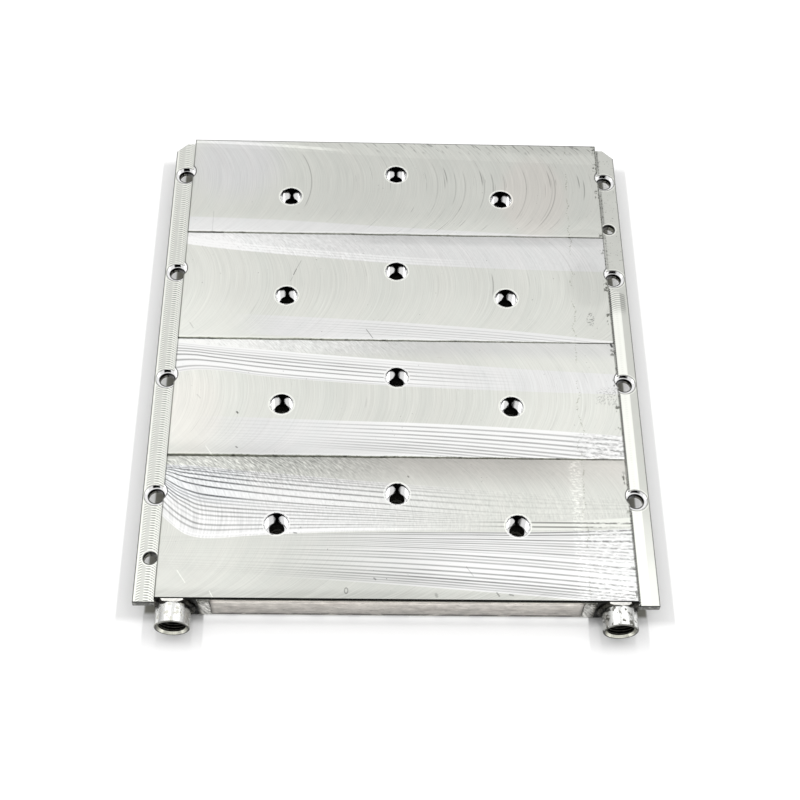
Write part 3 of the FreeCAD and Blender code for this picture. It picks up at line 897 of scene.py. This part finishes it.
top_height = fine * 0.35 + broad * 0.3 - lone * 0.3 - seam_shade_and_dirt * 3 - specks * 2 - dots * 0.8
height = blend(along, top_height, on_top)
height *= 1 - polished
warmth = blend(1, 0, least(bright * on_top, 1) * 0.85)
warmth = warmth - cool * on_top * 0.5 + (seam_shade_and_dirt * 2 + dots + edge_burr) * on_top
warmth *= 1 - polished
lilac = pass_1 * near(distance(x + 85, y - 124), 0, 12, 22)
warmth -= lilac * on_top * 0.9
blush = near(distance((x - 72) * 1.5, y - 102), 6, 14, 12) * 0.75
blush += near(distance(x + 97, (y + 32) * 0.6), 0, 8, 10) * 0.5
blush = blush + dusk * rise(x, -60, 20) * 0.7 - cool * 0.55
blush = (blush + broad * 0.5) * on_top
roughness = 0.42 + (patchy - 0.5) * 0.08 - bright * 0.06
roughness = blend(roughness, 0.4, on_flange)
roughness = blend(roughness, 0.14, polished)
finish_metal(plate, least(tone, 1), warmth, roughness, height, 0.04, blush)
give("plate_body", plate)
print("plate painted with", len(plate.node_tree.nodes), "nodes")

# %% [markdown]
# ## Plainer finishes
# The cover underneath is milled, the fins inside are bright rolled sheet, and the strip along
# the front is scuffed and darker towards the bottom, with a painted highlight along its top edge
# and painted shade at its ends.

# %% Cover, fins and strip
cover_metal, (x, y, z), _ = new_metal("milled cover")
lay = noise(x * 0.02, y * 1.2, z, detail=3) - 0.5
tone = 0.78 + lay * 0.08 + (noise(x, y, z, scale=0.05, detail=3) - 0.5) * 0.08
finish_metal(cover_metal, tone, 0.8, 0.45, lay, 0.03)
give("bottom_cover", cover_metal)

sheet_metal, (x, y, z), _ = new_metal("rolled fin sheet")
grain = noise(x * 0.05, y * 2, z * 2) - 0.5
finish_metal(sheet_metal, 0.8 + grain * 0.06, 0.6, 0.35, grain, 0.01)
for name in nodes:
    if name.startswith("fin_row"):
        give(name, sheet_metal)

strip_metal, (x, y, z), _ = new_metal("scuffed strip")
strip_low, strip_high = (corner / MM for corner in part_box("front_closing_strip"))
down = rise(z, strip_high.z, strip_low.z)
scuff = noise(x * 0.2, y, z * 0.45, detail=4, rough=0.65) - 0.5
scratch = rise(noise(x * 0.5, y, z * 1.4, detail=3), 0.64, 0.72)
tone = 0.775 - down * 0.12 + scuff * 0.42 - scratch * 0.12
# painted highlight along the top edge
tone += rise(z, strip_high.z - 1.3, strip_high.z - 0.8) * 0.1
# dark patches along the very bottom
dark_bottom_patches = noise(x * 0.09, 2, z * 0.6, detail=4, rough=0.7)
dark_bottom_patches = rise(dark_bottom_patches, 0.4, 0.5) * rise(z, strip_low.z + 2.3, strip_low.z + 1.5)
stain = rise(noise(x * 0.05, 0, z * 0.3, detail=3), 0.5, 0.7)
# painted shade at the strip's ends, by the weld beads
ends = rise(abs(x), strip_high.x - 2, strip_high.x)
tone = blend(tone - stain * 0.07, 0.3, most(dark_bottom_patches * 0.85, ends * 0.5))
finish_metal(strip_metal, tone, 1.2, 0.4, scuff - scratch * 0.5, 0.12, stain * 0.5 + 1.3)
give("front_closing_strip", strip_metal)
print("cover, fins and strip painted")

# %% [markdown]
# ## Port bosses
# Each boss is a turned tube with a thread cut inside it. The frame's boss is a plain tube at
# the thread's smallest size, so a new one replaces it. One loop makes both. The front face of a
# cylinder is inset and pushed in: the chamfered mouth narrows to the thread's first crest, the
# wall behind widens to the thread's outer size, and then it narrows to the bore. The other end
# becomes the spigot that sits in the plate.

# %% Small modelling helpers
THREAD_MAJOR_R, THREAD_MINOR_R, BORE_R, SPIGOT_R = 6.58, 5.725, 4.25, 6.75
THREAD_DEPTH, SPIGOT_LENGTH, THREAD_PITCH = 10, 6, 1.337
MOUTH_R, MOUTH_DEPTH = THREAD_MAJOR_R + 0.35, 1.05
FIRST_CREST_R, CREST_FLANK = 5.95, 0.35
BOSS_END = FRONT - BOSS_LENGTH
BOTH_PORTS = (("inlet", -1), ("outlet", 1))


def enter(mode):
    bpy.ops.object.mode_set(mode=mode)


def freeze():
    """Fix the active object's place, turn and size into its mesh."""
    bpy.ops.object.transform_apply(location=True, rotation=True, scale=True)


def select_all():
    bpy.ops.mesh.select_all(action="SELECT")


def select_where(kind, test):
    """Select the active object's faces (kind FACE) or edges (EDGE) that pass the test."""
    enter("OBJECT")
    mesh = bpy.context.object.data
    for elements in (mesh.vertices, mesh.edges, mesh.polygons):
        elements.foreach_set("select", [False] * len(elements))
    for element in mesh.polygons if kind == "FACE" else mesh.edges:
        element.select = test(element)
    enter("EDIT")
    bpy.ops.mesh.select_mode(type=kind)


def push(distance_mm):
    bpy.ops.mesh.extrude_region_move(
        TRANSFORM_OT_translate={"value": (0, distance_mm * MM, 0)})


def inset(thickness_mm):
    bpy.ops.mesh.inset(thickness=thickness_mm * MM, use_even_offset=True)


def resize(old_r, new_r):
    bpy.ops.transform.resize(value=(new_r / old_r,) * 3)


def settle(name, material, replaced=()):
    """Fix the active object's place into its mesh, name it, paint it and set it on the plate."""
    piece = bpy.context.object
    enter("OBJECT")
    freeze()
    piece.name = piece.data.name = name
    piece.data.materials.clear()
    piece.data.materials.append(material)
    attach(piece, "root")
    if replaced:
        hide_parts(*replaced)
    bpy.ops.object.select_all(action="DESELECT")
    print(name, "faces:", len(piece.data.polygons))


# %% Turned metal for the bosses
turned, (x, y, z), (nx, ny, nz) = new_metal("turned boss")
side = abs(x) - PORT_X
lathe = noise(y * 2.2, 0, 0, detail=3, rough=0.7) - 0.5
pits = rise(noise(x, y, z, scale=0.5, detail=3), 0.55, 0.63)
blur = noise(x, y, z, scale=0.18) - 0.5
tone = 0.9 + lathe * 0.06 + blur * 0.2 - pits * (rise(x, -1, 1) * 0.38 + 0.05)
# painted shade on the tube's sides, where it turns away
tone -= rise(abs(nx), 0.72, 1) * 0.2
to_axis = distance(side, z - PORT_Z)
ring_face = rise(ny, -0.8, -0.95)
# painted light and shade: the ring face and the mouth are lighter towards the bottom
ring_tone = 0.5 + rise(z, PORT_Z + 1, PORT_Z - 7) * 0.34 + blur * 0.9
ring_tone -= near(to_axis, THREAD_MAJOR_R + 0.45, 0.15, 0.3) * 0.16
tone = blend(tone, ring_tone, ring_face)
outline = rise(to_axis, BOSS_R - 1.05, BOSS_R - 0.95) * rise(ny, -0.3, -0.6)
outline *= 0.35 + 0.65 * rise(z, PORT_Z + 1, PORT_Z - 4)
tone = blend(tone, 0.1, outline * rise(blur, -0.22, -0.05) * 0.95)
mouth = rise(to_axis, MOUTH_R + 0.05, MOUTH_R - 0.05)
tone = blend(tone, 0.52 + rise(z, PORT_Z + 1, PORT_Z - 5) * 0.4 + blur * 0.5, mouth)
# painted shade inside the mouth
inside = rise(y, BOSS_END + MOUTH_DEPTH - 0.05, BOSS_END + MOUTH_DEPTH + 0.1)
tone = blend(tone, 0.2, mouth * inside)
# painted shade where the boss meets the plate
root = rise(y + blur * 3, FRONT - 3.4, FRONT - 2.4) * rise(abs(side), 4.6, 6)
tone = blend(tone, 0.3, root * 0.8)
brown = least(mouth + outline + ring_face * 0.5 + pits * 0.8, 1)
finish_metal(turned, tone, brown * 1.6 + 0.4, 0.24 + pits * 0.2, lathe * 0.3 - pits, 0.06,
             brown * 0.6)

thread_metal, (x, y, z), _ = new_metal("cut thread")
tone = 0.3 + (noise(x, y, z, scale=0.8) - 0.5) * 0.4
finish_metal(thread_metal, tone, 2.2, 0.35, blush=0.8)

# %% Model the bosses
RIM_BEVEL = 0.55
for name, side in BOTH_PORTS:
    centre_x, centre_z = side * PORT_X * MM, PORT_Z * MM
    bpy.ops.mesh.primitive_cylinder_add(
        vertices=96, radius=BOSS_R * MM, depth=BOSS_LENGTH * MM, end_fill_type="NGON",
        location=(centre_x, (FRONT - BOSS_LENGTH / 2) * MM, centre_z),
        rotation=(math.radians(90), 0, 0))
    freeze()
    select_where("FACE", lambda face: face.normal.y < -0.9)
    inset(BOSS_R - MOUTH_R)
    push(MOUTH_DEPTH)
    resize(MOUTH_R, FIRST_CREST_R)
    push(CREST_FLANK)
    resize(FIRST_CREST_R, THREAD_MAJOR_R)
    push(THREAD_DEPTH - MOUTH_DEPTH - CREST_FLANK)
    inset(THREAD_MAJOR_R - BORE_R)
    push(SPIGOT_LENGTH + BOSS_LENGTH - THREAD_DEPTH)
    bpy.ops.mesh.delete(type="FACE")
    select_where("FACE", lambda face: face.normal.y > 0.9
                 and abs(face.center.y - FRONT * MM) < 0.2 * MM)
    inset(BOSS_R - SPIGOT_R)
    push(SPIGOT_LENGTH)
    inset(SPIGOT_R - BORE_R)
    bpy.ops.mesh.delete(type="FACE")
    select_all()
    bpy.ops.mesh.remove_doubles(threshold=0.01 * MM)
    mesh = bpy.context.object.data

    def on_outer_rim(edge):
        ends = [mesh.vertices[v].co for v in edge.vertices]
        return all(abs(co.y - BOSS_END * MM) < 0.01 * MM
                   and math.hypot(co.x - centre_x, co.z - centre_z) > (BOSS_R - 0.05) * MM
                   for co in ends)

    select_where("EDGE", on_outer_rim)
    bpy.ops.mesh.bevel(offset=RIM_BEVEL * MM, segments=4)
    enter("OBJECT")
    bpy.ops.object.shade_smooth_by_angle(angle=math.radians(35))
    settle(name + "_boss_turned", turned, (name + "_port_boss",))

# %% [markdown]
# ## Threads
# A thread is one triangular ridge wound along a helix. A triangle is drawn beside the axis,
# and the Screw modifier turns it round the axis while it climbs one pitch each turn.

# %% Wind the threads
TURNS = 6
THREAD_START = BOSS_END + MOUTH_DEPTH + 0.55
ROOT_R, RIDGE_HALF = THREAD_MAJOR_R + 0.05, THREAD_PITCH * 0.42
for name, side in BOTH_PORTS:
    bpy.ops.mesh.primitive_circle_add(vertices=3, radius=0.6 * MM, fill_type="NOTHING",
                                      location=(0, 0, 0))
    ridge = bpy.context.object
    corners = ((ROOT_R, -RIDGE_HALF), (THREAD_MINOR_R, 0), (ROOT_R, RIDGE_HALF))
    for vertex, (radius, climb) in zip(ridge.data.vertices, corners):
        vertex.co = Vector((radius, 0, climb)) * MM
    winding = ridge.modifiers.new("winding", "SCREW")
    winding.angle = math.radians(360)
    winding.screw_offset = THREAD_PITCH * MM
    winding.iterations = TURNS
    winding.steps = winding.render_steps = 64
    winding.use_merge_vertices = False
    bpy.ops.object.modifier_apply(modifier="winding")
    enter("EDIT")
    bpy.ops.mesh.select_all(action="DESELECT")
    bpy.ops.mesh.select_mode(type="EDGE")
    bpy.ops.mesh.select_non_manifold()
    bpy.ops.mesh.edge_face_add()
    select_all()
    bpy.ops.mesh.normals_make_consistent(inside=False)
    enter("OBJECT")
    ridge.rotation_euler = (math.radians(-90), 0, 0)
    ridge.location = Vector((side * PORT_X, THREAD_START, PORT_Z)) * MM
    settle(name + "_thread", thread_metal)

# %% [markdown]
# ## Weld beads
# The bosses are welded on with a lumpy fillet that was milled level with the top of the plate,
# so it shows as a flat pale strip above and as a rough dark roll at the sides. A ring is bent
# out of shape by seeded noise, then cut flat with bisect. The ends of the strip carry
# short wrinkled beads made the same way from a block.

# %% Weld metal
weld_metal, (x, y, z), (nx, ny, nz) = new_metal("weld bead")
ripple = noise(x, y, z, scale=0.7, detail=3) - 0.5
soot = noise(x, y, z, scale=0.25)
milled_flat = rise(nz, 0.95, 0.99)
away_from_boss = rise(abs(x), 89, 86.5)
folds = noise(x * 0.8 + z * 0.5, y, z * 0.25, detail=3, rough=0.7) - 0.5
# painted shade: the welds round the bosses are dark, the beads at the strip ends lighter
tone = 0.26 + ripple * 0.5 - rise(soot, 0.42, 0.62) * 0.14
tone = blend(tone, 0.74 + folds * 1.3, away_from_boss)
tone = blend(tone, 0.88 + ripple * 0.4, milled_flat)
brown = 1 - most(away_from_boss, milled_flat)
finish_metal(weld_metal, tone, brown * 1.6 + 0.8, 0.38, ripple, 0.25, brown * 0.8 + 0.4)


def roughen(piece, amount_mm, seed):
    """Push each vertex in and out a little, smoothly enough to look like melted metal."""
    shift = Vector((seed * 13.7, seed * 5.3, seed * 9.1))
    for vertex in piece.data.vertices:
        place = vertex.co / MM
        push_out = cloud.noise(place * 0.45 + shift) + 0.5 * cloud.noise(place * 1.1 + shift)
        vertex.co += vertex.normal * push_out * amount_mm * MM


# %% Model the weld beads
WELD_R, WELD_THICKNESS, WELD_DROP = BOSS_R + 0.35, 1.55, 0.3
WELD_LUMPS, STRIP_LUMPS, STRIP_BEAD_BEVEL = 0.45, 0.35, 0.35
for name, side in BOTH_PORTS:
    bpy.ops.mesh.primitive_torus_add(
        major_segments=120, minor_segments=20, major_radius=WELD_R * MM,
        minor_radius=WELD_THICKNESS * MM, rotation=(math.radians(90), 0, 0),
        location=(side * PORT_X * MM, (FRONT + 0.05) * MM, (PORT_Z - WELD_DROP) * MM))
    freeze()
    roughen(bpy.context.object, WELD_LUMPS, 2 + side)
    enter("EDIT")
    for place, normal in (((0, 0, TOP - 0.02), (0, 0, 1)), ((0, 0, 0.1), (0, 0, -1)),
                          ((side * (BLOCK_HALF - 0.1), 0, 0), (side, 0, 0)),
                          ((0, FRONT + 0.2, 0), (0, 1, 0))):
        select_all()
        bpy.ops.mesh.bisect(plane_co=Vector(place) * MM, plane_no=normal, use_fill=True,
                            clear_outer=True)
    enter("OBJECT")
    bpy.ops.object.shade_smooth_by_angle(angle=math.radians(40))
    settle(name + "_weld_bead", weld_metal, (name + "_port_weld",))

for name, side in (("left", -1), ("right", 1)):
    low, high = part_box("strip_weld_" + name)
    bpy.ops.mesh.primitive_cube_add(size=1, location=(high + low) / 2, scale=high - low)
    freeze()
    enter("EDIT")
    select_all()
    bpy.ops.mesh.bevel(offset=STRIP_BEAD_BEVEL * MM, segments=2)
    select_all()
    bpy.ops.mesh.subdivide(number_cuts=12)
    enter("OBJECT")
    roughen(bpy.context.object, STRIP_LUMPS, 5 + side)
    bpy.ops.object.shade_smooth()
    settle("strip_bead_" + name, weld_metal, ("strip_weld_" + name,))

# %% [markdown]
# ## Burrs round the holes
# Every counterbore was cut after the top was milled, so its rim carries a thin raised burr that
# catches the light. Each is a fine ring, thrown slightly out of true. A loop makes the twelve
# rings, each with its own unevenness.

# %% Raise the burrs
burr_metal, (x, y, z), _ = new_metal("bright burr")
flick = noise(x, y, z, scale=0.9) - 0.5
finish_metal(burr_metal, 0.97 + flick * 0.08, 0, 0.25)

STEP_DOWN = 0.3
BURR_R, BURR_THICKNESS, BURR_WOBBLE = COUNTERBORE_R + 0.06, 0.11, 0.1


def surface_height(y_mm):
    """Height of the milled top: each pass is a little low at its rear edge."""
    edges = [REAR, *SEAMS, FRONT]
    for rear, front in zip(edges, edges[1:]):
        if y_mm >= front:
            return TOP - STEP_DOWN * (y_mm - front) / (rear - front)
    return TOP


rng = random.Random(4)
burr_places = [(column * COLUMN_PITCH, row_y - (COLUMN_SHIFT if column else 0))
               for row_y in MIDDLE_ROWS for column in (-1, 0, 1)]
for index, (hole_x, hole_y) in enumerate(burr_places, start=1):
    bpy.ops.mesh.primitive_torus_add(
        major_segments=64, minor_segments=8, major_radius=BURR_R * MM,
        minor_radius=BURR_THICKNESS * MM,
        location=Vector((hole_x, hole_y, surface_height(hole_y))) * MM)
    freeze()
    roughen(bpy.context.object, BURR_WOBBLE, rng.uniform(0, 20))
    bpy.ops.object.shade_smooth()
    settle("burr_%02d" % index, burr_metal)
